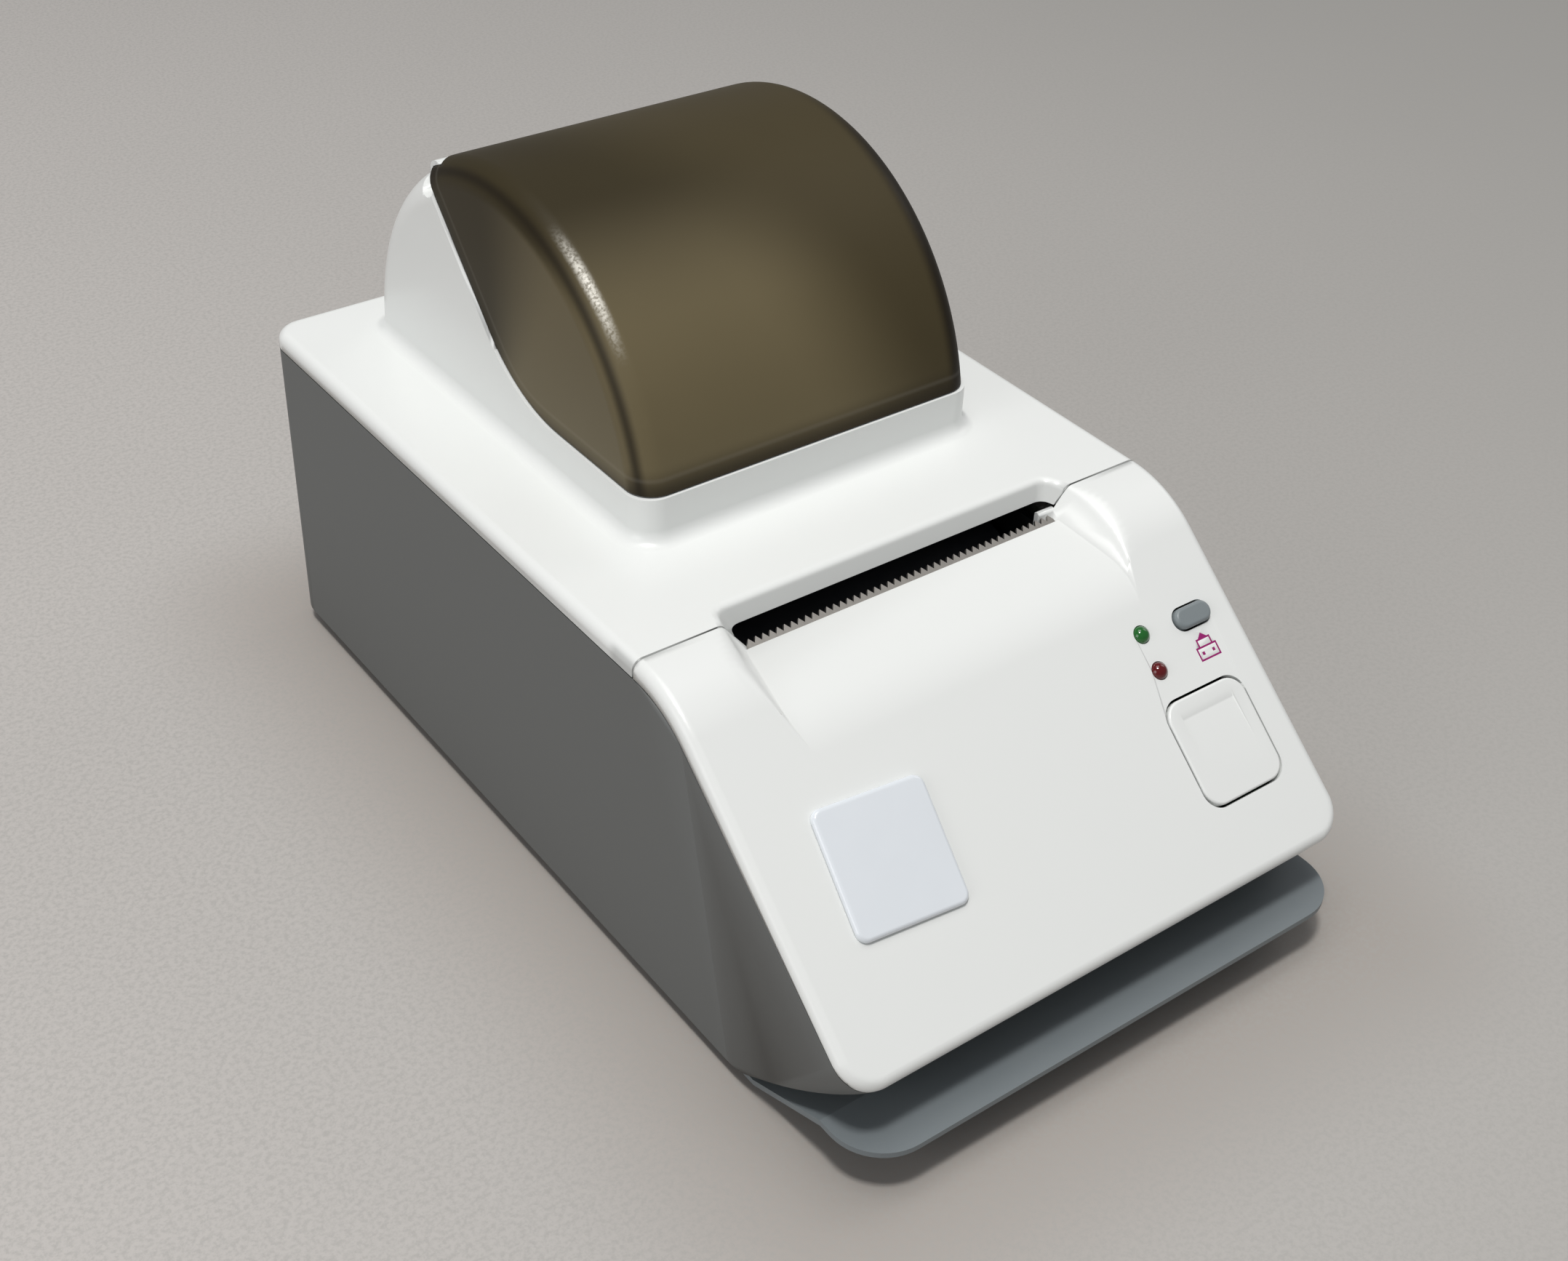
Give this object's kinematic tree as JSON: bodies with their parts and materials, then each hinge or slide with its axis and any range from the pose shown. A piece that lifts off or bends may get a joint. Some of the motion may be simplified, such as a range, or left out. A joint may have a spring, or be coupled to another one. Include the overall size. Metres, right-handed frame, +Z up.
{
  "type": "desktop thermal roll printer",
  "caption": "Compact desktop receipt printer with a sloped keyed front, a paper slot with tear bar, and a smoked tilting cover over its roll bay.",
  "frame": {"origin": "middle of the footprint, on the surface that the feet stand on", "axes": "+X to the right seen from the front, -Y to the front where the paper comes out, +Z up"},
  "size_m": [0.101, 0.1776, 0.1051],
  "materials": {
    "case_grey": "matt moulded plastic, mid grey",
    "shell_white": "polished white moulded plastic",
    "cover_smoke": "smoked translucent satin plastic",
    "plate_grey": "satin grey paint on sheet steel",
    "foot_rubber": "matt black rubber",
    "steel": "bright turned steel",
    "blade_steel": "thin spring steel sheet",
    "frame_steel": "zinc plated sheet steel",
    "mech_black": "matt black moulded plastic",
    "platen_rubber": "ground silicone rubber",
    "bush_bronze": "sintered bronze",
    "gear_plastic": "natural acetal",
    "head_aluminium": "extruded aluminium",
    "head_ceramic": "glazed ceramic strip",
    "button_grey": "satin grey moulded plastic",
    "lamp_green": "tinted clear resin, unlit",
    "lamp_red": "tinted clear resin, unlit",
    "mark_magenta": "printed mark",
    "badge_dome": "domed clear resin over a blank pale label",
    "board_green": "solder mask",
    "part_black": "moulded component packages",
    "can_aluminium": "drawn aluminium cans",
    "spring_steel": "spring wire"
  },
  "bodies": {
    "printer": {"lower_case": "case_grey", "front_fascia": "shell_white", "top_cover": "shell_white", "hinge_rod": "steel", "roll_bay": "mech_black", "base_plate": "plate_grey", "rubber_feet": "foot_rubber", "base_screws": "steel", "lamp_green": "lamp_green", "lamp_red": "lamp_red", "tact_switch": "part_black", "feed_mark": "mark_magenta", "key_pin": "steel", "power_switch": "part_black", "key_board": "board_green", "key_board_screws": "steel", "front_badge": "badge_dome", "mech_frame": "frame_steel", "frame_screws": "steel", "platen_bushes": "bush_bronze", "head_rod": "steel", "head_spring_left": "spring_steel", "head_spring_right": "spring_steel", "paper_guide": "mech_black", "tear_bar": "blade_steel", "idler_pin": "steel", "feed_motor": "frame_steel", "main_board": "board_green", "board_screws": "steel", "board_chips": "part_black", "board_capacitors": "can_aluminium", "dc_inlet": "part_black", "data_socket": "part_black"},
    "cover": {"roll_cover": "cover_smoke"},
    "button": {"feed_button": "button_grey", "tact_plunger": "part_black"},
    "key": {"power_key": "shell_white"},
    "key_plunger": {"switch_plunger": "part_black"},
    "platen": {"platen_roller": "platen_rubber", "platen_shaft": "steel", "platen_gear": "gear_plastic"},
    "idler": {"idler_gear": "gear_plastic"},
    "rotor": {"motor_shaft": "steel", "motor_pinion": "steel"},
    "spool": {"roll_spool": "mech_black"},
    "head": {"print_head": "head_aluminium", "head_line": "head_ceramic"}
  },
  "joints": [
    {"name": "roll_cover_hinge", "type": "hinge", "parent": "printer", "child": "cover", "pos_m": [0, 0.05665, 0.09763], "axis": [-1, 0, 0], "range_deg": [0, 105]},
    {"name": "feed_button_press", "type": "slide", "parent": "printer", "child": "button", "axis": [0, 0.6428, -0.766], "range_m": [0, 0.0008], "stiffness_N_per_m": 600},
    {"name": "power_key_press", "type": "hinge", "parent": "printer", "child": "key", "pos_m": [0.03515, -0.07274, 0.02748], "axis": [-1, 0, 0], "range_deg": [0, 4], "stiffness_Nm_per_rad": 0.25},
    {"name": "key_plunger_slide", "type": "slide", "parent": "printer", "child": "key_plunger", "axis": [0, 0.6428, -0.766], "range_m": [0, 0.0009]},
    {"name": "platen_spin", "type": "hinge", "parent": "printer", "child": "platen", "pos_m": [0, -0.0173, 0.0425], "axis": [1, 0, 0], "continuous": true},
    {"name": "idler_spin", "type": "hinge", "parent": "printer", "child": "idler", "pos_m": [0.036, -0.01297, 0.02918], "axis": [1, 0, 0], "continuous": true},
    {"name": "rotor_spin", "type": "hinge", "parent": "printer", "child": "rotor", "pos_m": [0.03, -0.00171, 0.02269], "axis": [1, 0, 0], "continuous": true},
    {"name": "spool_spin", "type": "hinge", "parent": "printer", "child": "spool", "pos_m": [0, 0.0367, 0.0609], "axis": [1, 0, 0], "continuous": true},
    {"name": "print_head_pivot", "type": "hinge", "parent": "printer", "child": "head", "pos_m": [0, -0.02335, 0.03252], "axis": [1, 0, 0], "range_deg": [0, 3], "stiffness_Nm_per_rad": 1, "springref_deg": -5.73, "deforming": ["head_spring_left", "head_spring_right"]}
  ],
  "couplings": [
    {"joint": "key_plunger_slide", "follows": "power_key_press", "m_per_rad": 0.0115},
    {"joint": "idler_spin", "follows": "platen_spin", "ratio": -2.5},
    {"joint": "rotor_spin", "follows": "platen_spin", "ratio": 8.3333}
  ]
}
